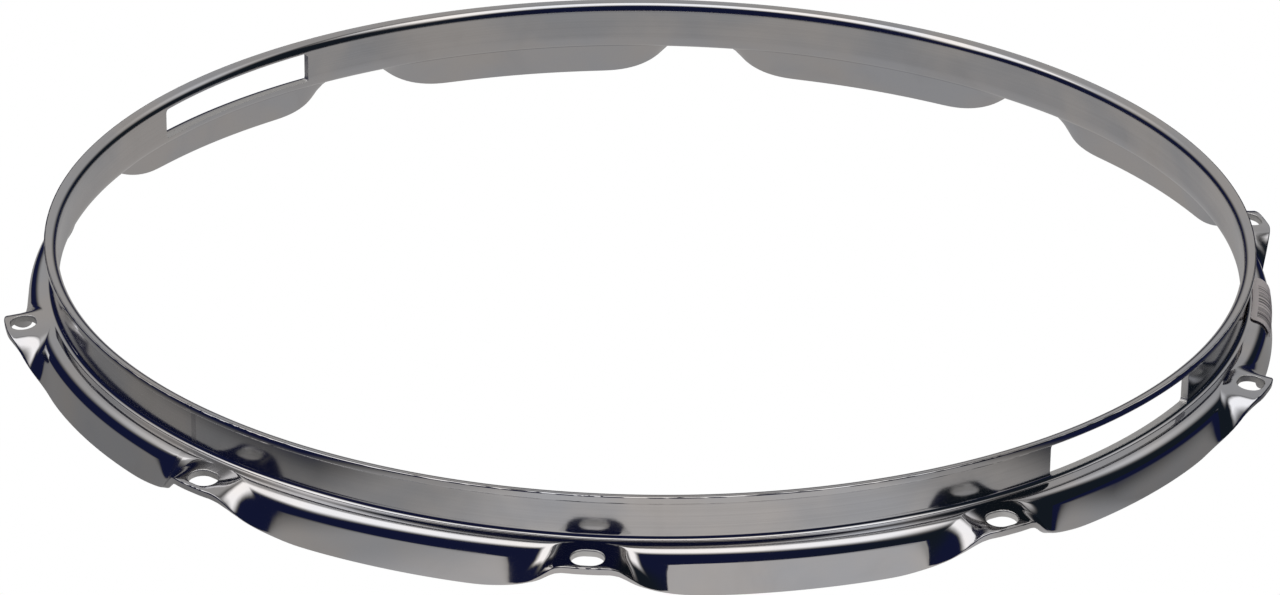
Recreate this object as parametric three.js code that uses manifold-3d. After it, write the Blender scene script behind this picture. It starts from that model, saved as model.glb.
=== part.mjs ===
// Pressed steel drum hoop: one strip with a rolled lip, an upright wall, a flange and a scalloped skirt,
// closed by a butt weld, with ten slotted ears, two gates in the wall and a paper label on the skirt.
import * as THREE from 'three';
import { mergeVertices } from 'three/addons/utils/BufferGeometryUtils.js';
import Module from 'manifold-3d';

const wasm = await Module();
wasm.setup();

// The strip's section, in millimetres and degrees. The skirt's edge stands on height zero.
const insideRadius = 180; // from the hoop's axis to the inside face of the upright wall
const sheet = 2.3; // thickness of the strip
const hoopHeight = 27.7; // from the skirt's edge to the top of the lip
const lipReach = 4.2; // from the wall's inside face out to the lip's edge
const lipRound = 3.2; // outer radius of the bend into the lip
const footHeight = 13.6; // top face of the flange where it leaves the wall's foot
const footRound = 1.5; // hollow radius between wall and flange
const flangeWidth = 1.3; // straight stretch of the flange before the crest
const flangeSlope = 6; // fall of the flange and of the ears
const crestRound = 5; // outer radius where the flange turns down into the skirt
const skirtLean = 7; // how far the skirt stands out of the upright between two ears

// The ears, where the skirt folds up until it lies in line with the flange.
const earCount = 10;
const earReach = 15.5; // from the wall's outside face to the straight edge of an ear
const earRoot = 9.3; // width of an ear's flat field at the crest
const rootLeadIn = 2.8; // stretch beside the flat field over which the fold begins, at the crest
const edgeLeadIn = 1.5; // the same at the ear's edge
const crestLevel = 38.2; // length of the fully folded stretch between two ears, at the crest
const skirtLevel = 57.3; // the same at the skirt's edge
const crestEase = 2.4; // power of the fold's easing towards that stretch, at the crest
const skirtEase = 2.6; // the same at the skirt's edge
const edgeLevel = 16; // length of the level stretch of a skirt's edge, between two ears
const edgeRise = 1.6; // by how much the skirt is shorter beside an ear
const riseEase = 4.5; // power with which it reaches its full length
const trimEase = 3.4; // power with which its length leaves the ear's
const slotLength = 9.4; // along the hoop
const slotWidth = 7.4; // across the strip
const slotMargin = 1.7; // steel left between a slot and the ear's edge
const slotShoulder = 3.7; // flat steel at each end of a slot, at the ear's edge

// The gates, two windows in the wall on opposite sides.
const gateAngles = [0, 180];
const gateWidth = 65.6; // along the middle of the wall's thickness
const gateLift = 1.1; // from the flange's top face at the wall up to a gate's lower edge
const gateHeadroom = 3.1; // from a gate's upper edge to the top of the lip
const gateCorner = 1.2;

// The butt weld that closes the strip.
const weldAngle = -94.5;
const weldWidth = 2;

// The paper label over the crest.
const labelAngle = 35.1; // place of its middle round the hoop
const labelLength = 31; // along the hoop
const labelDrop = 0.6; // down the skirt from the end of the crest
const paper = 0.2;
const paperGap = 0.3; // between the paper and the steel

const overrun = 5; // how far a cutter reaches past what it cuts

// Numbers of steps, not lengths.
const easingEnd = 1.5; // step down the strip where the crest's fold has become the skirt's
const lobeSteps = 5; // from an ear's flat field to the fully folded crest
const lobeSpacing = 1.7; // power that draws those steps towards the ear
const wideArcSteps = 4;
const tightArcSteps = 2;
const slotSteps = 6;

const radians = THREE.MathUtils.degToRad;
const lerp = THREE.MathUtils.lerp;
const wallOutside = insideRadius + sheet;
const earEdge = wallOutside + earReach;
const earTip = slotLength + 2 * slotShoulder; // width of the flat field at the ear's edge
const slotRadius = earEdge - slotMargin - slotWidth / 2; // from the hoop's axis to the middle of a slot
const slope = radians(flangeSlope);
const uprightFold = Math.PI / 2;
const fullFold = uprightFold - radians(skirtLean);
const earPitch = (2 * Math.PI) / earCount;
const firstEar = earPitch / 2;
const rootAngle = halfAngle(earRoot);
const tipAngle = halfAngle(earTip);
const crestAngle = levelFrom(crestLevel);
const edgeAngle = levelFrom(edgeLevel);
const weldHalfAngle = weldWidth / 2 / insideRadius;

// Centre of the fillet at the wall's foot, and the flange's top face where the fillet ends.
const footCentre = new THREE.Vector2(wallOutside + footRound, footHeight + footRound * Math.cos(slope));
const flangeStart = along(footCentre, uprightFold * 3 - slope, footRound);
const crestStart = along(flangeStart, -slope, flangeWidth);
const crestCentre = along(crestStart, -uprightFold - slope, crestRound);
const skirtStart = along(crestCentre, uprightFold - fullFold, crestRound);
const skirtLength = skirtStart.y / Math.sin(fullFold);

// The point at a distance from another one, in the direction of an angle.
function along(point, angle, distance) {
  return new THREE.Vector2(point.x + distance * Math.cos(angle), point.y + distance * Math.sin(angle));
}

// Half the angle that a width takes up at the ears' edge.
function halfAngle(width) {
  return Math.atan(width / 2 / earEdge);
}

// Angle from an ear's middle at which a stretch between two ears begins.
function levelFrom(stretch) {
  return (earPitch - stretch / wallOutside) / 2;
}

function arc(centre, radius, from, to, steps) {
  return Array.from({ length: steps + 1 }, (_, i) => along(centre, lerp(from, to, i / steps), radius));
}

// Angle from the nearest ear's middle, from minus to plus half the ears' pitch.
function fromEar(angle) {
  const turns = (angle - firstEar) / earPitch;
  return (turns - Math.round(turns)) * earPitch;
}

// How far an angle is on its way from an ear's flat field, 0, to the fully folded stretch, 1.
// The step down the strip is 0 at the crest's start, 1 at its end and 2 at the skirt's edge.
function foldProgress(angle, step) {
  const flat = halfAngle(lerp(earRoot, earTip, step / 2));
  const leadIn = lerp(rootLeadIn, edgeLeadIn, step / 2) / earEdge;
  const level = levelFrom(lerp(crestLevel, skirtLevel, easing(step)));
  const past = Math.max(Math.abs(fromEar(angle)) - flat, 0);
  const climb = past < leadIn ? past ** 2 / (2 * leadIn) : past - leadIn / 2;
  return Math.min(climb / (level - flat - leadIn / 2), 1);
}

// Share of the skirt's own easing at a step down the strip.
function easing(step) {
  return THREE.MathUtils.smoothstep(step, 0, easingEnd);
}

// How far the strip is folded down there, from 0 to 1.
function foldShare(angle, step) {
  const left = 1 - foldProgress(angle, step);
  return 1 - left ** lerp(crestEase, skirtEase, easing(step));
}

function foldAt(angle, step) {
  return lerp(slope, fullFold, foldShare(angle, step));
}

// Length of the skirt from the crest's end to its edge.
function skirtAt(angle) {
  const aside = Math.abs(fromEar(angle));
  const edgeRadius = earEdge / Math.cos(Math.min(aside, tipAngle));
  const straightEar = (edgeRadius - crestStart.x) / Math.cos(slope);
  const left = 1 - THREE.MathUtils.clamp((aside - tipAngle) / (edgeAngle - tipAngle), 0, 1);
  const folded = skirtLength - edgeRise * left ** riseEase;
  return lerp(folded, straightEar, (1 - foldProgress(angle, 2)) ** trimEase);
}

// A bend of the crest, whose fold changes from its start to its end.
function crest(angle, radius, steps) {
  return Array.from({ length: steps + 1 }, (_, i) => {
    const turn = lerp(slope, foldAt(angle, i / steps), i / steps);
    return along(crestCentre, uprightFold - turn, radius);
  });
}

// The strip's section at one place round the hoop, as points of radius and height.
// It runs anticlockwise from the lip's upper edge, down the inside face and up the outside face.
function sectionAt(angle) {
  const fold = foldAt(angle, 2);
  const share = foldShare(angle, 2);
  const trim = lerp(slope, uprightFold, share); // direction of the cut edge, level under the skirt
  const outerEdge = along(along(crestCentre, uprightFold - fold, crestRound), -fold, skirtAt(angle));
  const innerEdge = along(outerEdge, -uprightFold - trim, sheet / Math.cos(trim - fold));
  const lipCentre = new THREE.Vector2(insideRadius + lipRound, hoopHeight - lipRound);
  const lipEdge = insideRadius + lipReach;
  const footTo = uprightFold * 3 - slope;

  const wall = [
    new THREE.Vector2(lipEdge, hoopHeight),
    ...arc(lipCentre, lipRound, uprightFold, Math.PI, wideArcSteps),
    ...arc(footCentre, footRound + sheet, Math.PI, footTo, wideArcSteps).slice(0, -1),
  ];
  const flange = [
    along(footCentre, footTo, footRound + sheet),
    ...crest(angle, crestRound - sheet, tightArcSteps),
    innerEdge,
    outerEdge,
    ...crest(angle, crestRound, wideArcSteps).reverse(),
    along(footCentre, footTo, footRound),
  ];
  const outside = [
    ...arc(footCentre, footRound, footTo, Math.PI, tightArcSteps).slice(1),
    ...arc(lipCentre, lipRound - sheet, Math.PI, uprightFold, tightArcSteps),
    new THREE.Vector2(lipEdge, hoopHeight - sheet),
  ];
  // An ear's field is a plane, so its points rise by what the round foot falls behind the plane.
  const lift = Math.tan(slope) * (1 - Math.cos(fromEar(angle))) * (1 - share);
  for (const point of flange) point.y += point.x * lift;
  return [...wall, ...flange, ...outside];
}

function placed(point, angle) {
  return new THREE.Vector3(point.x * Math.cos(angle), point.x * Math.sin(angle), point.y);
}

// Angles round the hoop where the section is taken, close together beside the ears.
function stationAngles(from, to) {
  const asides = [rootAngle, tipAngle, edgeAngle, earPitch / 2];
  for (let i = 1; i <= lobeSteps; i++) {
    asides.push(lerp(tipAngle, crestAngle, (i / lobeSteps) ** lobeSpacing));
  }
  const all = new Set([from, to]);
  for (let ear = -earCount; ear <= 2 * earCount; ear++) {
    for (const aside of asides) {
      all.add(firstEar + ear * earPitch + aside);
      if (aside < earPitch / 2) all.add(firstEar + ear * earPitch - aside);
    }
  }
  return [...all].filter((angle) => angle >= from && angle <= to).sort((a, b) => a - b);
}

// Skins a row of closed rings of equal length and closes both ends, facing outwards.
function skinned(rings, contour) {
  const positions = rings.flat().flatMap((point) => point.toArray());
  const count = contour.length;
  const indices = [];
  for (let i = 0; i < rings.length - 1; i++) {
    for (let j = 0; j < count; j++) {
      const next = (j + 1) % count;
      const here = i * count;
      const there = here + count;
      indices.push(here + j, there + j, there + next, here + j, there + next, here + next);
    }
  }
  const last = (rings.length - 1) * count;
  for (const [a, b, c] of THREE.ShapeUtils.triangulateShape(contour, [])) {
    indices.push(a, b, c, last + a, last + c, last + b);
  }
  const geometry = new THREE.BufferGeometry();
  geometry.setAttribute('position', new THREE.Float32BufferAttribute(positions, 3));
  geometry.setIndex(indices);
  return geometry;
}

// The strip between two angles.
function strip(from, to) {
  const rings = stationAngles(from, to).map((angle) => sectionAt(angle).map((point) => placed(point, angle)));
  return solidOf(skinned(rings, sectionAt(from)));
}

// Turns a closed geometry into a solid: shared corners are merged and collapsed faces left out.
function solidOf(geometry) {
  const plain = geometry.clone();
  plain.deleteAttribute('normal');
  plain.deleteAttribute('uv');
  const merged = mergeVertices(plain);
  const corners = merged.index.array;
  const faces = [];
  for (let i = 0; i < corners.length; i += 3) {
    const [a, b, c] = corners.slice(i, i + 3);
    if (a !== b && b !== c && c !== a) faces.push(a, b, c);
  }
  const vertProperties = new Float32Array(merged.attributes.position.array);
  const triVerts = new Uint32Array(faces);
  return new wasm.Manifold(new wasm.Mesh({ numProp: 3, vertProperties, triVerts }));
}

function geometryOf(solid) {
  const { vertProperties, triVerts } = solid.getMesh();
  const geometry = new THREE.BufferGeometry();
  geometry.setAttribute('position', new THREE.BufferAttribute(vertProperties, 3));
  geometry.setIndex(new THREE.BufferAttribute(triVerts, 1));
  geometry.computeVertexNormals();
  return geometry;
}

// Cuts one slot square to an ear's field, its length along the hoop.
function slotCutter(ear) {
  const half = (slotLength - slotWidth) / 2;
  const outline = new THREE.Shape();
  outline.absarc(0, half, slotWidth / 2, 0, Math.PI, false);
  outline.absarc(0, -half, slotWidth / 2, Math.PI, 2 * Math.PI, false);
  const depth = sheet + 2 * overrun;
  const cutter = new THREE.ExtrudeGeometry(outline, { depth, bevelEnabled: false, curveSegments: slotSteps });
  const height = flangeStart.y - (slotRadius - flangeStart.x) * Math.tan(slope);
  cutter.translate(0, 0, overrun - depth);
  cutter.rotateY(slope);
  cutter.translate(slotRadius, 0, height);
  cutter.rotateZ(firstEar + ear * earPitch);
  return solidOf(cutter);
}

// Cuts one gate with end faces that point at the hoop's axis.
function gateCutter(gateAngle) {
  const middle = (insideRadius + wallOutside) / 2;
  const half = gateWidth / 2 - gateCorner;
  const low = footHeight + gateLift + gateCorner;
  const high = hoopHeight - gateHeadroom - gateCorner;
  const outline = new THREE.Shape();
  outline.absarc(half, low, gateCorner, -uprightFold, 0, false);
  outline.absarc(half, high, gateCorner, 0, uprightFold, false);
  outline.absarc(-half, high, gateCorner, uprightFold, Math.PI, false);
  outline.absarc(-half, low, gateCorner, Math.PI, uprightFold * 3, false);
  const corners = outline.getPoints(wideArcSteps);
  const rings = [wallOutside + overrun, insideRadius - overrun].map((radius) =>
    corners.map((corner) => {
      const angle = radians(gateAngle) + corner.x / middle;
      return placed(new THREE.Vector2(radius, corner.y), angle);
    }),
  );
  return solidOf(skinned(rings, corners));
}

function hoop() {
  const middle = radians(weldAngle);
  let solid = strip(middle + weldHalfAngle, middle - weldHalfAngle + 2 * Math.PI);
  for (let ear = 0; ear < earCount; ear++) solid = solid.subtract(slotCutter(ear));
  for (const gateAngle of gateAngles) solid = solid.subtract(gateCutter(gateAngle));
  return solid;
}

function weld() {
  const middle = radians(weldAngle);
  return strip(middle - weldHalfAngle, middle + weldHalfAngle);
}

// The label follows the outside face from the flange over the crest and down the skirt.
function label() {
  const half = labelLength / 2 / crestStart.x;
  const middle = radians(labelAngle);
  const rings = stationAngles(middle - half, middle + half).map((angle) => {
    const layer = (distance) => {
      const bend = crest(angle, crestRound + distance, wideArcSteps);
      const start = along(bend[0], Math.PI - slope, flangeWidth);
      return [start, ...bend, along(bend.at(-1), -foldAt(angle, 1), labelDrop)];
    };
    return [...layer(paperGap + paper), ...layer(paperGap).reverse()].reverse().map((point) => placed(point, angle));
  });
  const first = rings[0].map((point) => new THREE.Vector2(Math.hypot(point.x, point.y), point.z));
  return solidOf(skinned(rings, first));
}

function piece(name, solid, look) {
  const mesh = new THREE.Mesh(geometryOf(solid), new THREE.MeshStandardMaterial(look));
  mesh.name = name;
  return mesh;
}

const drumHoop = new THREE.Group();
drumHoop.add(piece('hoop', hoop(), { color: 0xc9ccd2, metalness: 1, roughness: 0.12 }));
drumHoop.add(piece('seam_weld', weld(), { color: 0xb9bcc2, metalness: 1, roughness: 0.3 }));
drumHoop.add(piece('price_label', label(), { color: 0xe9e6e0, metalness: 0, roughness: 0.8 }));

export default drumHoop;
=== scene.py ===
# Pressed steel drum hoop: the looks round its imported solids. The object is in metres, the sizes below in millimetres.
import math
import bmesh
import bpy
from mathutils import Matrix, Vector


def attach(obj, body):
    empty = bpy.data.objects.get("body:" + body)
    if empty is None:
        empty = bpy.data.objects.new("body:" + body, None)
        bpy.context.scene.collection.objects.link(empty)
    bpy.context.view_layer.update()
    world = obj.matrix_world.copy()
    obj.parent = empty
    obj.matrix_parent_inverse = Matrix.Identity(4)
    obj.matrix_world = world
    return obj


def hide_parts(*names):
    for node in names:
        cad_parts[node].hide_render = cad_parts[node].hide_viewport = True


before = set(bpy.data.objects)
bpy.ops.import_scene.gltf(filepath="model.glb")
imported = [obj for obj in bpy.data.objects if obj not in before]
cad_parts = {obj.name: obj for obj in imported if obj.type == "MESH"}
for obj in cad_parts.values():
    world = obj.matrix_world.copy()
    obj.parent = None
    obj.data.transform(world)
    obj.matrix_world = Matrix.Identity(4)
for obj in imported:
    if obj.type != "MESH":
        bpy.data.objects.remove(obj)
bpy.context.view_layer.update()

mm = 0.001
quarter = math.pi / 2


# Node trees

class Term:
    # a socket that can stand in a sum; every operator adds its Math node
    def __init__(self, board, socket):
        self.board = board
        self.socket = socket

    def __add__(self, other):
        return self.board.math("ADD", self, other)

    def __radd__(self, other):
        return self.board.math("ADD", other, self)

    def __sub__(self, other):
        return self.board.math("SUBTRACT", self, other)

    def __rsub__(self, other):
        return self.board.math("SUBTRACT", other, self)

    def __mul__(self, other):
        return self.board.math("MULTIPLY", self, other)

    def __rmul__(self, other):
        return self.board.math("MULTIPLY", other, self)

    def __truediv__(self, other):
        return self.board.math("DIVIDE", self, other)

    def __rtruediv__(self, other):
        return self.board.math("DIVIDE", other, self)

    def __pow__(self, other):
        return self.board.math("POWER", self, other)


class Board:
    # one node tree and the ways to add to it
    def __init__(self, tree):
        self.tree = tree

    def add(self, kind, settings=None, sockets=None):
        node = self.tree.nodes.new(kind)
        for name, value in (settings or {}).items():
            setattr(node, name, value)
        for name, value in (sockets or {}).items():
            self.feed(node, name, value)
        return node

    def find(self, sockets, name):
        if isinstance(name, int):
            return sockets[name]
        return next(s for s in sockets if s.name == name and s.enabled)

    def feed(self, node, name, value):
        socket = self.find(node.inputs, name)
        if isinstance(value, Term):
            self.tree.links.new(value.socket, socket)
        else:
            socket.default_value = value

    def out(self, node, name=0):
        return Term(self, self.find(node.outputs, name))

    def math(self, operation, *values):
        node = self.add("ShaderNodeMath", {"operation": operation}, dict(enumerate(values)))
        return self.out(node)

    def clamp(self, value, low=0.0, high=1.0):
        return self.math("MINIMUM", self.math("MAXIMUM", value, low), high)

    def ramp(self, value, low, high):
        # 0 up to low, 1 from high on, smooth between them; it falls where high is the smaller one
        node = self.add(
            "ShaderNodeMapRange",
            {"interpolation_type": "SMOOTHSTEP"},
            {"Value": value, "From Min": low, "From Max": high},
        )
        return self.out(node)

    def mix(self, share, first, second):
        return first + (second - first) * share

    def mixColour(self, share, first, second, blend="MIX"):
        # the Mix node has a set of sockets per kind of value; these are the ones of colours
        node = self.add("ShaderNodeMix", {"data_type": "RGBA", "blend_type": blend}, {0: share, 6: first, 7: second})
        return self.out(node, 2)

    def vector(self, x, y, z):
        return self.out(self.add("ShaderNodeCombineXYZ", None, {0: x, 1: y, 2: z}))

    def stretch(self, parts, scales):
        return self.vector(*[part * scale for part, scale in zip(parts, scales)])

    def parts(self, vector):
        node = self.add("ShaderNodeSeparateXYZ", None, {0: vector})
        return [self.out(node, i) for i in range(3)]

    def noise(self, vector, scale, detail=2.0, roughness=0.5, distortion=0.0):
        node = self.add(
            "ShaderNodeTexNoise",
            None,
            {"Vector": vector, "Scale": scale, "Detail": detail, "Roughness": roughness, "Distortion": distortion},
        )
        return self.out(node)

    def show(self, surface, kind="ShaderNodeOutputMaterial"):
        self.feed(self.add(kind), "Surface", self.out(surface))


def newTree(name, inputs):
    # a geometry tree with named inputs; gives the board and a dictionary of the inputs' terms
    tree = bpy.data.node_groups.new(name, "GeometryNodeTree")
    tree.interface.new_socket("Geometry", in_out="OUTPUT", socket_type="NodeSocketGeometry")
    kinds = {float: "NodeSocketFloat", int: "NodeSocketInt", bpy.types.Object: "NodeSocketObject"}
    for label, kind in inputs.items():
        tree.interface.new_socket(label, in_out="INPUT", socket_type=kinds.get(kind, "NodeSocketMaterial"))
    board = Board(tree)
    start = board.add("NodeGroupInput")
    return board, {label: board.out(start, label) for label in inputs}


def finishTree(board, geometry, material):
    realized = board.out(board.add("GeometryNodeRealizeInstances", None, {0: geometry}))
    painted = board.out(board.add("GeometryNodeSetMaterial", None, {"Geometry": realized, "Material": material}))
    end = board.add("NodeGroupOutput")
    board.feed(end, 0, painted)


def addObject(name, data):
    item = bpy.data.objects.new(name, data)
    bpy.context.scene.collection.objects.link(item)
    return item


def finishedMesh(item):
    # an object's mesh with its modifiers worked in
    graph = bpy.context.evaluated_depsgraph_get()
    return bpy.data.meshes.new_from_object(item.evaluated_get(graph), preserve_all_data_layers=True, depsgraph=graph)


def bake(name, board, values):
    # runs a tree on an empty mesh and keeps the result as a plain mesh
    holder = addObject(name + "Tree", bpy.data.meshes.new(name + "Tree"))
    modifier = holder.modifiers.new("shape", "NODES")
    modifier.node_group = board.tree
    for item in board.tree.interface.items_tree:
        if item.in_out == "INPUT" and item.name in values:
            modifier[item.identifier] = values[item.name]
    bpy.context.view_layer.update()
    mesh = finishedMesh(holder)
    holder.modifiers.remove(modifier)
    bpy.data.objects.remove(holder)
    mesh.name = name
    return addObject(name, mesh)


# The strip: one section, bent stretch by stretch, whose skirt folds up at the ears

strip = {
    "Inside Radius": 180.0,
    "Sheet": 2.3,
    "Height": 27.7,
    "Lip Reach": 4.2,
    "Lip Round": 3.2,
    "Foot Height": 13.6,
    "Foot Round": 1.5,
    "Flange Width": 1.3,
    "Flange Slope": 6.0,
    "Crest Round": 5.0,
    "Skirt Lean": 7.0,
    "Ears": 10,
    "Ear Reach": 15.5,
    "Ear Root": 9.3,
    "Ear Tip": 16.8,
    "Root Lead": 2.8,
    "Tip Lead": 1.5,
    "Crest Level": 38.2,
    "Skirt Level": 57.3,
    "Crest Ease": 2.4,
    "Skirt Ease": 2.6,
    "Edge Level": 16.0,
    "Edge Rise": 1.6,
    "Rise Ease": 4.5,
    "Trim Ease": 3.4,
    "Blur": 2.0,  # from here on the looks' own: how far the folds blend, and how the ears' corners are rounded
    "Ear Corner": 1.6,
    "Corner Before": 3.0,
    "Corner Past": 2.0,
}
stretches = {"lip": 0, "lipBend": 1, "wall": 2, "foot": 3, "flange": 4, "crest": 5, "skirt": 6}
sectionEnd = 7
foldSettled = 6.5  # step along the section from which the skirt's own fold law holds
firstEar = math.pi / strip["Ears"]
crowding = 0.7  # share by which the stations draw together at an ear
settling = 60  # rounds in which railAt closes in on its answer
blending = {-2: 1, -1: 4, 0: 6, 1: 4, 2: 1}  # neighbours of a point along the hoop and their weights


def railTurn(board, along):
    # the angle round the hoop for an even count along it
    ears = strip["Ears"]
    return along - crowding / ears * board.math("SINE", (along - firstEar) * ears)


def railAt(angle):
    # the even count that lands on an angle
    along = angle
    for _ in range(settling):
        along = angle + crowding / strip["Ears"] * math.sin((along - firstEar) * strip["Ears"])
    return along


def earEdge(size):
    return size["Inside Radius"] + size["Sheet"] + size["Ear Reach"]


def halfAngle(board, width, size):
    # half the angle that a width takes up at the ears' edge
    return board.math("ARCTANGENT", width / 2 / earEdge(size))


def levelFrom(size, stretch):
    # angle from an ear's middle at which a stretch between two ears begins
    return (2 * math.pi / size["Ears"] - stretch / (size["Inside Radius"] + size["Sheet"])) / 2


def foldLeft(board, size, aside, step):
    # 1 on an ear's flat field, 0 where the strip is fully folded; an ear is narrow at the crest and wide at its edge
    crest = stretches["crest"]
    down = board.clamp((step - crest) / (sectionEnd - crest))
    easing = board.ramp(step, float(crest), foldSettled)
    flat = halfAngle(board, board.mix(down, size["Ear Root"], size["Ear Tip"]), size)
    leadIn = board.mix(down, size["Root Lead"], size["Tip Lead"]) / earEdge(size)
    level = levelFrom(size, board.mix(easing, size["Crest Level"], size["Skirt Level"]))
    past = board.math("MAXIMUM", aside - flat, 0.0)
    first = board.math("MINIMUM", past, leadIn)
    climb = first * first / (2 * leadIn) + board.math("MAXIMUM", past - leadIn, 0.0)
    left = 1 - board.clamp(climb / (level - flat - leadIn / 2))
    return left, board.mix(easing, size["Crest Ease"], size["Skirt Ease"])


def skirtAt(board, size, aside, left, start, drop, slope, lean):
    # length of the skirt from the crest's end to its edge
    tip = halfAngle(board, size["Ear Tip"], size)
    edge = earEdge(size)
    edgeRadius = edge / board.math("COSINE", board.math("MINIMUM", aside, tip))
    straightEar = (edgeRadius - start) / board.math("COSINE", slope)
    level = levelFrom(size, size["Edge Level"])
    short = (1 - board.clamp((aside - tip) / (level - tip))) ** size["Rise Ease"]
    folded = drop / board.math("COSINE", lean) - size["Edge Rise"] * short
    corner = board.ramp(aside, tip - size["Corner Before"] / edge, tip + size["Corner Past"] / edge)
    return board.mix(left ** size["Trim Ease"], folded, straightEar) - corner * left * size["Ear Corner"]


def stripPlace(board, size, turn, step, layer, inset):
    # radius and height of one point: step along the section, layer from -1 inside to 1 outside, inset from a cut edge
    pitch = 2 * math.pi / size["Ears"]
    turns = (turn - pitch / 2) / pitch
    aside = board.math("ABSOLUTE", turns - board.math("ROUND", turns)) * pitch
    left, ease = foldLeft(board, size, aside, step)
    share = 1 - left ** ease
    half = size["Sheet"] / 2
    slope = board.math("RADIANS", size["Flange Slope"])
    lean = board.math("RADIANS", size["Skirt Lean"])
    fold = board.mix(share, slope, quarter - lean)
    trim = board.mix(share, slope, quarter)
    cosSlope = board.math("COSINE", slope)
    sinSlope = board.math("SINE", slope)

    footX = size["Inside Radius"] + size["Sheet"] + size["Foot Round"]
    footZ = size["Foot Height"] + size["Foot Round"] * cosSlope
    crestX = footX - size["Foot Round"] * sinSlope + size["Flange Width"] * cosSlope
    crestZ = size["Foot Height"] - size["Flange Width"] * sinSlope - size["Crest Round"] * cosSlope
    skirtZ = crestZ + size["Crest Round"] * board.math("SINE", lean)
    skirtLength = skirtAt(board, size, aside, left, crestX, skirtZ, slope, lean)
    skirtLength = skirtLength - half * (1 - layer) * board.math("TANGENT", trim - fold)

    part = {name: board.clamp(step - start) for name, start in stretches.items()}
    lipRadius = size["Lip Round"] - half
    footRadius = size["Foot Round"] + half
    crestRadius = size["Crest Round"] - half
    wallLength = size["Height"] - size["Lip Round"] - footZ

    lipTurn = part["lipBend"] * quarter
    footTurn = part["foot"] * (quarter - slope)
    crestTurn = part["crest"] * (fold - slope)
    x = size["Inside Radius"] + size["Lip Reach"] - part["lip"] * (size["Lip Reach"] - size["Lip Round"])
    z = size["Height"] - half - lipRadius * (1 - board.math("COSINE", lipTurn))
    x = x - lipRadius * board.math("SINE", lipTurn)
    z = z - part["wall"] * wallLength - footRadius * board.math("SINE", footTurn)
    x = x + footRadius * (1 - board.math("COSINE", footTurn)) + part["flange"] * size["Flange Width"] * cosSlope
    z = z - part["flange"] * size["Flange Width"] * sinSlope
    down = slope + crestTurn
    x = x + crestRadius * (board.math("SINE", down) - sinSlope)
    z = z + crestRadius * (board.math("COSINE", down) - cosSlope)
    x = x + part["skirt"] * skirtLength * board.math("COSINE", fold)
    z = z - part["skirt"] * skirtLength * board.math("SINE", fold)

    heading = math.pi + lipTurn + footTurn - crestTurn
    cosHeading = board.math("COSINE", heading)
    sinHeading = board.math("SINE", heading)
    x = x + inset * cosHeading - layer * half * sinHeading
    z = z + inset * sinHeading + layer * half * cosHeading
    # an ear's field is a plane, so it rises by what the round foot falls behind the plane
    lift = board.math("TANGENT", slope) * (1 - board.math("COSINE", aside)) * (1 - share)
    return x, z + x * lift * part["foot"]


def stripPoint(board, size, turn, step, layer, inset):
    # the folds blend along the hoop, so a point is the mean of its neighbours at the same place in the section
    radius = height = 0.0
    for count, weight in blending.items():
        share = weight / sum(blending.values())
        beside = turn + size["Blur"] * count / size["Inside Radius"]
        x, z = stripPlace(board, size, beside, step, layer, inset)
        radius = x * share + radius
        height = z * share + height
    return board.vector(
        radius * mm * board.math("COSINE", turn), radius * mm * board.math("SINE", turn), height * mm
    )


def stripTree():
    inputs = {name: int if name == "Ears" else float for name in strip}
    inputs.update({"Section": bpy.types.Object, "From": float, "To": float, "Stations": int, "Material": None})
    board, size = newTree("hoopStrip", inputs)
    line = board.out(board.add("GeometryNodeCurvePrimitiveLine"))
    rail = board.out(board.add("GeometryNodeResampleCurve", None, {"Curve": line, "Count": size["Stations"]}))
    share = board.out(board.add("GeometryNodeSplineParameter"), "Factor")
    turn = railTurn(board, board.mix(share, size["From"], size["To"]))
    keepTurn = board.add("GeometryNodeCaptureAttribute", None, {"Geometry": rail})
    keepTurn.capture_items.new("FLOAT", "Turn")
    board.feed(keepTurn, 1, turn)
    info = board.add("GeometryNodeObjectInfo", None, {"Object": size["Section"]})
    section = board.out(board.add("GeometryNodeMeshToCurve", None, {0: board.out(info, "Geometry")}))
    keepSection = board.add("GeometryNodeCaptureAttribute", None, {"Geometry": section})
    keepSection.capture_items.new("VECTOR", "Section")
    board.feed(keepSection, 1, board.out(board.add("GeometryNodeInputPosition")))
    swept = board.out(
        board.add(
            "GeometryNodeCurveToMesh",
            None,
            {"Curve": board.out(keepTurn, 0), "Profile Curve": board.out(keepSection, 0), "Fill Caps": True},
        )
    )
    step, layer, inset = board.parts(board.out(keepSection, 1))
    place = stripPoint(board, size, board.out(keepTurn, 1), step, layer, inset)
    bent = board.out(board.add("GeometryNodeSetPosition", None, {"Geometry": swept, "Position": place}))
    finishTree(board, bent, size["Material"])
    return board


cutEdge = {"round": 0.45, "steps": 3}
flatRows = {
    "lip": (0.35, 0.9),
    "wall": (0.03, 0.35, 0.65, 0.97),
    "flange": (0.12, 0.88),
    "skirt": (0.05, 0.3, 0.6, 0.9),
}
bendRows = {"lipBend": 8, "foot": 8, "crest": 10}


def bentSteps(name, rows):
    return [stretches[name] + i / rows for i in range(rows + 1)]


def sectionSteps():
    # rows of the section along its length: a few on the flat stretches, even ones round the bends
    steps = []
    for name, start in stretches.items():
        if name in bendRows:
            steps += bentSteps(name, bendRows[name])
        else:
            steps += [start + share for share in flatRows[name]]
    return steps


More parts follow.
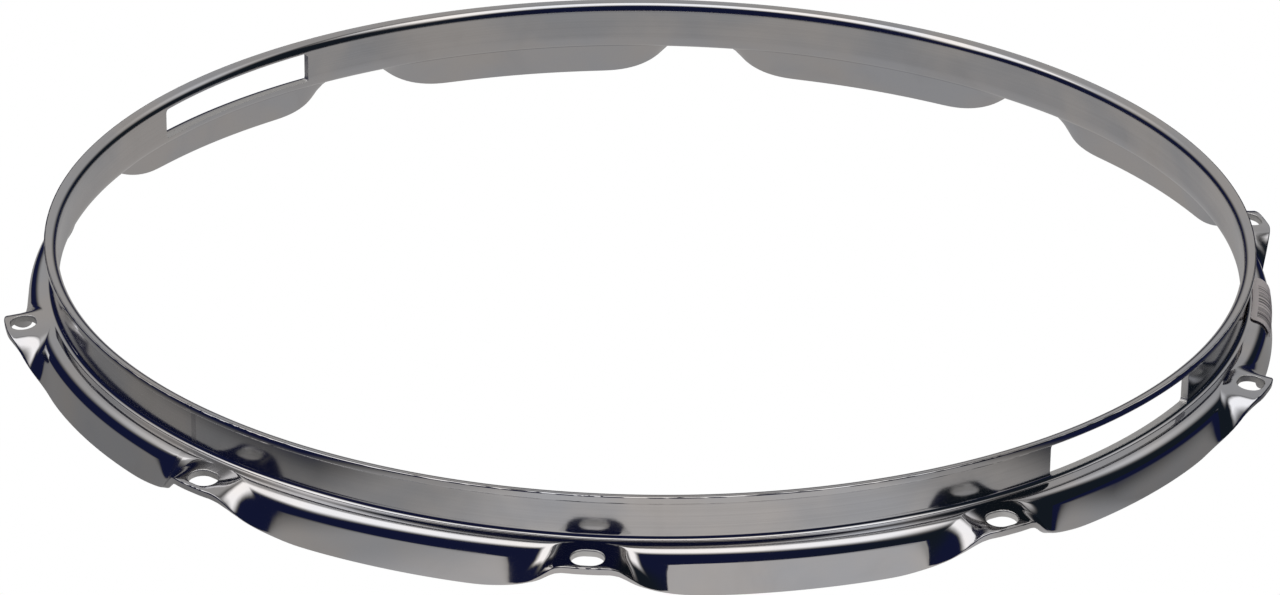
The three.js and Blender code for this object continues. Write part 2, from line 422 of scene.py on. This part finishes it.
def sectionPoints():
    # the flat section as a loop of (step, layer, inset)
    outer = sectionSteps()
    rim = cutEdge["round"]
    shelf = 1 - 2 * rim / strip["Sheet"]  # layer where the rounding begins
    turns = [quarter * i / cutEdge["steps"] for i in range(cutEdge["steps"] + 1)]
    corner = [(rim * (1 - math.sin(a)), shelf + (1 - shelf) * math.cos(a)) for a in turns]
    skirtEnd = [(sectionEnd, layer, -inset) for inset, layer in corner]
    skirtEnd += [(sectionEnd, -layer, -inset) for inset, layer in reversed(corner)]
    lipEnd = [(0.0, -layer, inset) for inset, layer in corner]
    lipEnd += [(0.0, layer, inset) for inset, layer in reversed(corner)]
    points = [(step, 1.0, 0.0) for step in outer]
    points += skirtEnd
    points += [(step, -1.0, 0.0) for step in reversed(outer)]
    points += lipEnd
    return points


def sectionObject(name, points):
    mesh = bpy.data.meshes.new(name)
    mesh.from_pydata(points, [(i, (i + 1) % len(points)) for i in range(len(points))], [])
    return addObject(name, mesh)


# The punches: ten slots and two gates, each with its rim rounded over

punch = {
    "Slot Length": 9.4,
    "Slot Width": 7.4,
    "Slot Margin": 1.7,
    "Slot Rim": 0.45,
    "Gate Width": 65.6,
    "Gate Lift": 1.1,
    "Gate Headroom": 3.1,
    "Gate Corner": 1.2,
    "Gate Rim": 0.15,
}
rimSteps = 4
rimTurn = 7 / 9 * quarter  # the rounding stops short of the sheet's own plane
slotEnds = {"clear": 1.2, "flare": 3.3, "roundSteps": 12}
# a gate's punch ends well clear of the sheet, because its ends are flat where the wall is round
gateEnds = {"clear": 4.5, "flare": 0.0, "roundSteps": 6, "cuts": 12}
almostHalf = 0.9999  # a fillet of the full half width would leave two points in one place


def punchRail(board, rim, half, clear, flare):
    # rings through the sheet, the same on both sides of its middle: their depth and how far the punch spreads there
    rings = 2 * rimSteps + 4
    middle = (rings - 1) / 2
    line = board.out(board.add("GeometryNodeMeshLine", {"mode": "OFFSET"}, {"Count": rings}))
    index = board.out(board.add("GeometryNodeInputIndex"))
    side = board.math("SIGN", index - middle)
    count = board.math("ABSOLUTE", index - middle) - 0.5
    bend = board.clamp(count / rimSteps) * rimTurn
    past = board.math("MAXIMUM", count - rimSteps, 0.0)
    depth = half - rim + rim * board.math("SINE", bend) + past * clear
    spread = rim * (1 - board.math("COSINE", bend)) + past * flare
    return line, depth * side, spread


def punchBody(board, rim, half, outline, clear, flare):
    # sweeps an outline through the sheet; gives the mesh, each point's place in the outline, its depth and its spread
    line, depth, spread = punchRail(board, rim, half, clear, flare)
    rail = board.out(board.add("GeometryNodeMeshToCurve", None, {0: line}))
    keepRail = board.add("GeometryNodeCaptureAttribute", None, {"Geometry": rail})
    keepRail.capture_items.new("FLOAT", "Depth")
    keepRail.capture_items.new("FLOAT", "Spread")
    board.feed(keepRail, 1, depth)
    board.feed(keepRail, 2, spread)
    keepOutline = board.add("GeometryNodeCaptureAttribute", None, {"Geometry": outline})
    keepOutline.capture_items.new("VECTOR", "Place")
    board.feed(keepOutline, 1, board.out(board.add("GeometryNodeInputPosition")))
    body = board.out(
        board.add(
            "GeometryNodeCurveToMesh",
            None,
            {"Curve": board.out(keepRail, 0), "Profile Curve": board.out(keepOutline, 0), "Fill Caps": True},
        )
    )
    return body, board.parts(board.out(keepOutline, 1)), board.out(keepRail, 1), board.out(keepRail, 2)


def spreadPlace(board, place, halfX, halfY, corner, spread):
    # moves an outline's point outwards along the normal of its rounded rectangle
    moved = []
    for value, half in zip(place, (halfX, halfY)):
        core = board.math("MINIMUM", board.math("MAXIMUM", value, corner - half), half - corner)
        moved.append((value - core) / corner * spread + value)
    return moved


def outlineCurve(board, width, height, corner, steps):
    sides = {"Width": width, "Height": height}
    square = board.out(board.add("GeometryNodeCurvePrimitiveQuadrilateral", {"mode": "RECTANGLE"}, sides))
    fillet = {"Curve": square, "Radius": corner * almostHalf, "Count": steps, "Limit Radius": True}
    return board.out(board.add("GeometryNodeFilletCurve", {"mode": "POLY"}, fillet))


def punchTree():
    names = ["Inside Radius", "Sheet", "Height", "Foot Height", "Foot Round", "Flange Slope", "Ear Reach", *punch]
    inputs = {"Hoop": bpy.types.Object, "Ears": int, **{name: float for name in names}, "Cut Material": None}
    board, size = newTree("hoopPunch", inputs)
    hoop = board.out(board.add("GeometryNodeObjectInfo", None, {"Object": size["Hoop"]}), "Geometry")
    half = size["Sheet"] / 2
    outside = size["Inside Radius"] + size["Sheet"]
    pitch = 2 * math.pi / size["Ears"]
    slope = board.math("RADIANS", size["Flange Slope"])
    cosSlope = board.math("COSINE", slope)
    sinSlope = board.math("SINE", slope)

    # a slot's punch in the frame of its ear: x outwards, y along the hoop, depth square to the field
    corner = size["Slot Width"] / 2
    outline = outlineCurve(board, size["Slot Width"], size["Slot Length"], corner, slotEnds["roundSteps"])
    body, place, depth, spread = punchBody(
        board, size["Slot Rim"], half, outline, slotEnds["clear"], slotEnds["flare"]
    )
    x, y = spreadPlace(board, place[:2], corner, size["Slot Length"] / 2, corner, spread)
    radius = outside + size["Ear Reach"] - size["Slot Margin"] - corner
    startX = outside + size["Foot Round"] - size["Foot Round"] * sinSlope
    height = size["Foot Height"] - (radius - startX) * board.math("TANGENT", slope)
    level = depth - half
    slotPlace = board.vector(
        (radius + x * cosSlope + level * sinSlope) * mm,
        y * mm,
        (height - x * sinSlope + level * cosSlope) * mm,
    )
    slotBody = board.out(board.add("GeometryNodeSetPosition", None, {"Geometry": body, "Position": slotPlace}))
    still = {"Offset": (0.0, 0.0, 0.0)}
    ears = board.out(board.add("GeometryNodeMeshLine", {"mode": "OFFSET"}, {"Count": size["Ears"], **still}))
    index = board.out(board.add("GeometryNodeInputIndex"))
    turn = board.vector(0.0, 0.0, index * pitch + pitch / 2)
    slots = board.out(
        board.add("GeometryNodeInstanceOnPoints", None, {"Points": ears, "Instance": slotBody, "Rotation": turn})
    )

    # a gate's punch: along the wall, up the wall, and through it
    bottom = size["Foot Height"] + size["Gate Lift"]
    top = size["Height"] - size["Gate Headroom"]
    tall = top - bottom
    outline = outlineCurve(board, size["Gate Width"], tall, size["Gate Corner"], gateEnds["roundSteps"])
    dense = board.out(board.add("GeometryNodeSubdivideCurve", None, {"Curve": outline, "Cuts": gateEnds["cuts"]}))
    body, place, depth, spread = punchBody(board, size["Gate Rim"], half, dense, gateEnds["clear"], gateEnds["flare"])
    along, up = spreadPlace(board, place[:2], size["Gate Width"] / 2, tall / 2, size["Gate Corner"], spread)
    middle = outside - half
    angle = along / middle
    across = (middle + depth) * mm
    gatePlace = board.vector(
        across * board.math("COSINE", angle),
        across * board.math("SINE", angle),
        ((bottom + top) / 2 + up) * mm,
    )
    gateBody = board.out(board.add("GeometryNodeSetPosition", None, {"Geometry": body, "Position": gatePlace}))
    pair = board.out(board.add("GeometryNodeMeshLine", {"mode": "OFFSET"}, {"Count": 2, **still}))
    halfTurn = board.vector(0.0, 0.0, index * math.pi)
    gates = board.out(
        board.add("GeometryNodeInstanceOnPoints", None, {"Points": pair, "Instance": gateBody, "Rotation": halfTurn})
    )

    tools = board.add("GeometryNodeJoinGeometry")
    for part in (slots, gates):
        board.tree.links.new(part.socket, tools.inputs[0])
    real = board.out(board.add("GeometryNodeRealizeInstances", None, {0: board.out(tools)}))
    skin = {"Geometry": real, "Material": size["Cut Material"]}
    painted = board.out(board.add("GeometryNodeSetMaterial", None, skin))
    cut = board.add("GeometryNodeMeshBoolean", {"operation": "DIFFERENCE", "solver": "MANIFOLD"})
    board.tree.links.new(hoop.socket, cut.inputs[0])
    board.tree.links.new(painted.socket, cut.inputs[1])
    end = board.add("NodeGroupOutput")
    board.feed(end, 0, board.out(board.add("GeometryNodeRealizeInstances", None, {0: board.out(cut)})))
    return board


sliver = 0.003  # an edge shorter than this is taken out, in millimetres


def dropSlivers(piece):
    # the crest has no length in the middle of an ear, so faces without area are left there
    draft = bmesh.new()
    draft.from_mesh(piece.data)
    bmesh.ops.dissolve_degenerate(draft, dist=sliver * mm, edges=draft.edges)
    draft.to_mesh(piece.data)
    draft.free()


def faceOutwards(piece):
    # turns a closed mesh the right way out
    mesh = piece.data
    volume = 0.0
    mesh.calc_loop_triangles()
    for triangle in mesh.loop_triangles:
        a, b, c = (mesh.vertices[i].co for i in triangle.vertices)
        volume += a.dot(b.cross(c))
    if volume < 0:
        mesh.flip_normals()


def shadeRound(piece, limit=30):
    mesh = piece.data
    mesh.polygons.foreach_set("use_smooth", [True] * len(mesh.polygons))
    mesh.set_sharp_from_angle(angle=math.radians(limit))


def weighNormals(piece):
    # large flat faces keep their own normal beside a narrow rounding
    modifier = piece.modifiers.new("weigh", "WEIGHTED_NORMAL")
    modifier.mode = "FACE_AREA"
    modifier.weight = 100
    modifier.keep_sharp = True
    mesh = finishedMesh(piece)
    piece.modifiers.remove(modifier)
    piece.data = mesh


# Materials

def newMaterial(name):
    material = bpy.data.materials.new(name)
    material.use_nodes = True
    material.node_tree.nodes.clear()
    return material, Board(material.node_tree)


chrome = {
    "cool": (0.555, 0.57, 0.6, 1.0),
    "warm": (0.61, 0.59, 0.575, 1.0),
    "rough": 0.06,
    "satin": 0.12,
    "smear": 0.07,
    "brushing": 0.08,
    "brushDepth": 0.00006,  # in metres, like the three places of the rolled wall below
    "wallSide": (0.1834, 0.1826),
    "wallFoot": (0.0145, 0.0165),
    "wallTop": (0.0268, 0.0255),
    "lineScale": (6, 6, 2600),
    "lineNoise": (4.0, 0.6),
    "lineEdge": (0.35, 0.7),
    "lineShade": 0.05,
    "bandScale": (24, 24, 30),
    "bandNoise": (3.0,),
    "bandEdge": (0.62, 0.4),
    "bandShade": 0.1,
    "tintEdge": (0.34, 0.66),
    "smearScale": 38.0,
    "smearNoise": (4.0, 0.55, 0.6),
    "smearEdge": (0.5, 0.72),
    "smearShade": 0.05,
    "wallSpared": 0.6,
}
weldLook = {**chrome, "cool": (0.5, 0.5, 0.52, 1.0), "warm": (0.54, 0.53, 0.52, 1.0), "rough": 0.16, "satin": 0.22}


def chromeMaterial(name, look):
    # bright on the pressed folds, satin and faintly brushed on the rolled wall, with smears all over
    material, board = newMaterial(name)
    place = board.out(board.add("ShaderNodeTexCoord"), "Object")
    x, y, z = board.parts(place)
    radius = board.math("SQRT", x * x + y * y)
    wall = board.ramp(radius, *look["wallSide"]) * board.ramp(z, *look["wallFoot"]) * board.ramp(z, *look["wallTop"])
    lines = board.noise(board.stretch((x, y, z), look["lineScale"]), 1.0, *look["lineNoise"])
    bands = board.noise(board.stretch((x, y, z), look["bandScale"]), 1.0, *look["bandNoise"])
    smears = board.ramp(board.noise(place, look["smearScale"], *look["smearNoise"]), *look["smearEdge"])
    tint = board.ramp(bands, *look["tintEdge"])
    metal = board.mixColour(tint, look["cool"], look["warm"])
    lineTone = board.ramp(lines, *look["lineEdge"]) * look["lineShade"]
    bandTone = board.ramp(bands, *look["bandEdge"]) * look["bandShade"]
    tone = 1 - wall * (lineTone + bandTone) - smears * look["smearShade"]
    shade = board.mixColour(1.0, metal, board.vector(tone, tone, tone), "MULTIPLY")
    dulled = smears * look["smear"] * (1 - wall * look["wallSpared"])
    roughness = look["rough"] + wall * (look["satin"] - look["rough"]) + dulled
    surface = board.add("ShaderNodeBsdfPrincipled", None, {"Metallic": 1.0, "Roughness": roughness})
    board.feed(surface, "Base Color", shade)
    bump = {"Strength": look["brushing"], "Distance": look["brushDepth"], "Height": lines * wall}
    board.feed(surface, "Normal", board.out(board.add("ShaderNodeBump", None, bump)))
    board.show(surface)
    return material


sheared = {
    "colour": (0.66, 0.66, 0.65, 1.0),
    "grain": 900.0,
    "rough": 0.3,
    "varying": 0.2,
    "bump": 0.3,
    "depth": 0.0002,
}


def cutMaterial(look):
    # the sheet's own grey at the punched edges, with the grain of the shear
    material, board = newMaterial("shearedSteel")
    place = board.out(board.add("ShaderNodeTexCoord"), "Object")
    grain = board.noise(place, look["grain"], 3.0)
    roughness = look["rough"] + grain * look["varying"]
    surface = board.add("ShaderNodeBsdfPrincipled", None, {"Metallic": 1.0, "Roughness": roughness})
    surface.inputs["Base Color"].default_value = look["colour"]
    bump = board.add("ShaderNodeBump", None, {"Strength": look["bump"], "Distance": look["depth"], "Height": grain})
    board.feed(surface, "Normal", board.out(bump))
    board.show(surface)
    return material


label = {
    "angle": 35.1,  # its middle and the ends of its bars, in degrees round the hoop
    "length": 31.0,
    "gap": 0.3,
    "paper": 0.2,
    "corner": 2.0,
    "barsFrom": 31.2,
    "barsTo": 38.2,
    "barsRadius": 185.6,
    "bars": 64,
    "bare": 0.52,
    "ink": (0.06, 0.05, 0.06, 1.0),
    "inked": 0.8,
    "cream": (0.97, 0.92, 0.9, 1.0),
    "shade": (0.9, 0.84, 0.82, 1.0),
    "fibre": 1500.0,
    "rough": 0.5,
    "varying": 0.2,
    "cutCorner": (2.1, 1.95),
    "down": 0.05,  # share of the skirt that the paper covers
}
flangeSlope = math.radians(strip["Flange Slope"])
footCircle = strip["Inside Radius"] + strip["Sheet"] + strip["Foot Round"]
crestCircle = footCircle - strip["Foot Round"] * math.sin(flangeSlope) + strip["Flange Width"] * math.cos(flangeSlope)
labelHalf = label["length"] / 2 / crestCircle


def paperMaterial(look):
    # coated paper, a plain pattern of bars across it, and its two corners by the wall rounded off
    material, board = newMaterial("paper")
    place = board.out(board.add("ShaderNodeTexCoord"), "Object")
    x, y, _ = board.parts(place)
    radius = board.math("SQRT", x * x + y * y) / mm
    angle = board.math("ARCTAN2", y, x)
    share = (board.math("DEGREES", angle) - look["barsFrom"]) / (look["barsTo"] - look["barsFrom"])
    column = board.math("FLOOR", share * look["bars"])
    cell = board.add("ShaderNodeTexWhiteNoise", {"noise_dimensions": "1D"}, {"W": column})
    bars = board.math("GREATER_THAN", board.out(cell), look["bare"])
    printed = board.math("GREATER_THAN", share, 0.0) * board.math("LESS_THAN", share, 1.0)
    printed = printed * board.math("GREATER_THAN", radius, look["barsRadius"]) * bars
    fibre = board.noise(place, look["fibre"], 3.0)
    cream = board.mixColour(fibre, look["cream"], look["shade"])
    colour = board.mixColour(printed * look["inked"], cream, look["ink"])
    roughness = look["rough"] + fibre * look["varying"]
    surface = board.add("ShaderNodeBsdfPrincipled", None, {"Roughness": roughness, "Base Color": colour})
    fromEnd = (labelHalf - board.math("ABSOLUTE", angle - math.radians(look["angle"]))) * strip["Inside Radius"]
    along = board.math("MAXIMUM", look["corner"] - fromEnd, 0.0)
    across = board.math("MAXIMUM", look["corner"] - (radius - footCircle), 0.0)
    outside = board.math("SQRT", along * along + across * across)
    board.feed(surface, "Alpha", board.ramp(outside, *look["cutCorner"]))
    board.show(surface)
    return material


def labelPoints(look):
    # the label's section from the flange over the crest and a little down the skirt
    flange = float(stretches["flange"])
    steps = [flange, flange + 0.5] + bentSteps("crest", bendRows["crest"]) + [stretches["skirt"] + look["down"]]
    half = strip["Sheet"] / 2
    inside = 1 + look["gap"] / half
    outside = inside + look["paper"] / half
    return [(step, outside, 0.0) for step in steps] + [(step, inside, 0.0) for step in reversed(steps)]


# The pieces

chromeSkin = chromeMaterial("brightChrome", chrome)
weldSkin = chromeMaterial("weldChrome", weldLook)
cutSkin = cutMaterial(sheared)
paperSkin = paperMaterial(label)

weld = {"angle": -94.5, "width": 2.0}
weldHalf = weld["width"] / 2 / strip["Inside Radius"]
weldMiddle = math.radians(weld["angle"])
labelMiddle = math.radians(label["angle"])
counts = {"hoop": 850, "weld": 9, "label": 33}

stripBoard = stripTree()
section = sectionObject("hoopSection", sectionPoints())
labelSection = sectionObject("labelSection", labelPoints(label))
spans = {
    "hoopBlank": (section, weldMiddle + weldHalf, weldMiddle - weldHalf + 2 * math.pi, counts["hoop"], chromeSkin),
    "seamWeld": (section, weldMiddle - weldHalf, weldMiddle + weldHalf, counts["weld"], weldSkin),
    "priceLabel": (labelSection, labelMiddle - labelHalf, labelMiddle + labelHalf, counts["label"], paperSkin),
}
made = {}
for name, (profile, start, end, stations, skin) in spans.items():
    values = {**strip, "Section": profile, "From": railAt(start), "To": railAt(end)}
    made[name] = bake(name, stripBoard, {**values, "Stations": stations, "Material": skin})
    dropSlivers(made[name])
    faceOutwards(made[name])
print("strip bent:", len(made["hoopBlank"].data.vertices), "points")

punchBoard = punchTree()
wanted = [item.name for item in punchBoard.tree.interface.items_tree]
shared = {name: value for name, value in strip.items() if name in wanted}
hoop = bake("pressedHoop", punchBoard, {**shared, **punch, "Hoop": made["hoopBlank"], "Cut Material": cutSkin})
dropSlivers(hoop)
faceOutwards(hoop)
print("slots and gates punched:", len(hoop.data.polygons), "faces")

for spent in (made["hoopBlank"], section, labelSection):
    bpy.data.objects.remove(spent)
finished = {
    "hoop": (hoop, "plated_steel"),
    "seam_weld": (made["seamWeld"], "plated_weld"),
    "price_label": (made["priceLabel"], "paper"),
}
for node, (piece, slotName) in finished.items():
    shadeRound(piece)
    weighNormals(piece)
    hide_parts(node)
    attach(piece, "root")
print("pieces finished:", len(finished))


# Studio: a pale floor, soft light from above, and a camera at the photograph's angle

fitUnit = 184  # millimetres in one unit of the camera's fit
photo = {
    "turn": 319.075,  # angle from the object's own X axis to the photograph's, in degrees
    "elevation": 24.878,
    "roll": -0.692,
    "aside": 0.0172 * fitUnit,
    "above": 0.1211 * fitUnit,
    "distance": 9.5339 * fitUnit,
    "lens": 161.72,
    "sensor": 36.0,
    "clip": (0.05, 20.0),
}


def makeCamera():
    data = bpy.data.cameras.new("camera")
    data.lens = photo["lens"]
    data.sensor_width = photo["sensor"]
    data.sensor_fit = "HORIZONTAL"
    data.clip_start, data.clip_end = photo["clip"]
    camera = addObject("camera", data)
    tilt = math.radians(photo["elevation"]) - quarter
    toView = Matrix.Rotation(math.radians(photo["roll"]), 3, "Z") @ Matrix.Rotation(tilt, 3, "X")
    toObject = Matrix.Rotation(-math.radians(photo["turn"]), 3, "Z") @ toView.transposed()
    aim = Vector((photo["aside"], photo["above"], -photo["distance"])) * mm
    place = Vector((0, 0, strip["Height"] * mm)) + toObject @ -aim
    camera.matrix_world = Matrix.Translation(place) @ toObject.to_4x4()
    bpy.context.scene.camera = camera


studio = {
    "dark": (0.0098, 0.013, 0.048, 1.0),
    "darkRight": (0.011, 0.016, 0.023, 1.0),
    "light": (1.0, 0.975, 0.965),
    "drown": 8,  # one over the glow that leaves nothing of the dark's colour
}
black = (0.0, 0.0, 0.0, 1.0)
white = (1.0, 1.0, 1.0, 1.0)


def towardsCamera(board, x, y):
    # turns two level coordinates into one towards the camera and one to its right
    azimuth = 2 * math.pi - math.radians(photo["turn"])
    near = x * math.sin(azimuth) - y * math.cos(azimuth)
    right = x * math.cos(azimuth) + y * math.sin(azimuth)
    return near, right


def glowing(board, glow, dark):
    # a glow's own light, in place of the dark behind it
    light = [glow * share for share in studio["light"]]
    faded = board.mixColour(board.clamp(glow * studio["drown"]), dark, black)
    return board.mixColour(1.0, faded, board.vector(*light), "ADD")


# places on the floor in metres; a pair is where a ramp starts and where it is full
floorLight = {
    "radius": 1.0,
    "sides": 96,
    "beam": 0.6,
    "beamLeft": (-0.095, -0.05),
    "beamRight": (0.13, 0.09),
    "lane": 0.4,
    "laneEdge": (0.165, 0.12),
    "laneStart": (-0.02, 0.1),
    "laneShift": 0.02,
    "laneFrom": 0.2,
    "laneSlant": 0.2,
    "pool": 0.25,
    "poolNear": (-0.1, 0.05),
    "poolSides": (-0.02, -0.1),
    "poolRims": (0.206, 0.22),
    "poolSoft": 0.01,
    "inside": 0.42,
}


def makeFloor(look):
    # white to the camera; in the steel it glows with painted light: a bright lane in front, a soft pool round the hoop
    # and dark beyond
    turns = [2 * math.pi * i / look["sides"] for i in range(look["sides"])]
    mesh = bpy.data.meshes.new("floor")
    corners = [(look["radius"] * math.cos(a), look["radius"] * math.sin(a), 0.0) for a in turns]
    mesh.from_pydata(corners, [], [tuple(range(look["sides"]))])
    floor = addObject("floor", mesh)
    material, board = newMaterial("paleFloor")
    x, y, _ = board.parts(board.out(board.add("ShaderNodeTexCoord"), "Object"))
    near, right = towardsCamera(board, x, y)
    reach = board.math("SQRT", near * near + right * right)

    aside = board.math("ABSOLUTE", right - look["laneShift"] - (near - look["laneFrom"]) * look["laneSlant"])
    beam = board.ramp(right, *look["beamLeft"]) * board.ramp(right, *look["beamRight"])
    beam = beam * (look["beam"] - look["lane"])
    lane = (board.ramp(aside, *look["laneEdge"]) * look["lane"] + beam) * board.ramp(near, *look["laneStart"])
    rim = board.mix(board.ramp(right, *look["poolSides"]), *look["poolRims"])
    pool = board.mix(board.ramp(near, *look["poolNear"]), look["inside"], look["pool"])
    pool = pool * board.ramp(reach, rim + look["poolSoft"], rim - look["poolSoft"])
    # painted light: the floor itself glows with this lane, beam and pool in place of lamp light falling on it
    colour = glowing(board, board.math("MAXIMUM", lane, pool), studio["dark"])

    seen = board.out(board.add("ShaderNodeLightPath"), "Is Camera Ray")
    soft = board.out(board.add("ShaderNodeEmission", None, {"Color": colour}))
    plain = board.out(board.add("ShaderNodeEmission", None, {"Color": white}))
    board.show(board.add("ShaderNodeMixShader", None, {0: seen, 1: soft, 2: plain}))
    mesh.materials.append(material)


# places in the room as parts of a direction of length one
roomLight = {
    "lamp": 1.52,
    "lampFront": (0.56, 0.24),
    "frontSlant": 0.11,
    "lampBack": (-0.28, -0.03),
    "backSlant": 0.19,
    "lampLeft": (-0.86, -0.72),
    "lampRight": (0.72, 0.45),
    "lampFoot": (0.1, 0.4),
    "back": 0.45,
    "backNear": (-0.05, -0.35),
    "backFoot": (0.0, 0.3),
    "horizon": 0.02,
    "horizonRise": 0.42,
    "sides": 0.35,
    "sidesFrom": (0.35, 0.7),
    "sidesFoot": (0.45, 0.68),
    "nightRight": (0.2, 0.8),
}


def makeWorld(look):
    # a wide lamp overhead that hangs down on the left, a grey room behind, and the dark towards the camera
    world = bpy.data.worlds.new("studio")
    world.use_nodes = True
    world.node_tree.nodes.clear()
    bpy.context.scene.world = world
    board = Board(world.node_tree)
    x, y, z = board.parts(board.out(board.add("ShaderNodeTexCoord"), "Generated"))
    near, right = towardsCamera(board, x, y)

    front = board.ramp(near - right * look["frontSlant"], *look["lampFront"])
    behind = board.ramp(near - right * look["backSlant"], *look["lampBack"])
    ends = board.ramp(right, *look["lampLeft"]) * board.ramp(right, *look["lampRight"])
    lamp = front * behind * ends * board.ramp(z, *look["lampFoot"]) * look["lamp"]
    side = board.math("ABSOLUTE", right)
    rise = side * side * look["horizonRise"] + look["horizon"]
    room = board.ramp(near, *look["backNear"]) * board.ramp(z - rise, *look["backFoot"]) * look["back"]
    lighter = board.ramp(side, *look["sidesFrom"]) * board.ramp(z, *look["sidesFoot"])
    room = room * (1 + lighter * (look["sides"] / look["back"]))
    night = board.mixColour(board.ramp(right, *look["nightRight"]), studio["dark"], studio["darkRight"])
    colour = glowing(board, board.math("MAXIMUM", lamp, room), night)

    seen = board.out(board.add("ShaderNodeLightPath"), "Is Camera Ray")
    lit = board.out(board.add("ShaderNodeBackground", None, {"Color": colour}))
    plain = board.out(board.add("ShaderNodeBackground", None, {"Color": white}))
    board.show(board.add("ShaderNodeMixShader", None, {0: seen, 1: lit, 2: plain}), "ShaderNodeOutputWorld")


makeCamera()
makeFloor(floorLight)
makeWorld(roomLight)
bpy.context.scene.view_settings.view_transform = "Standard"
bpy.context.scene.view_settings.look = "None"
print("studio set")
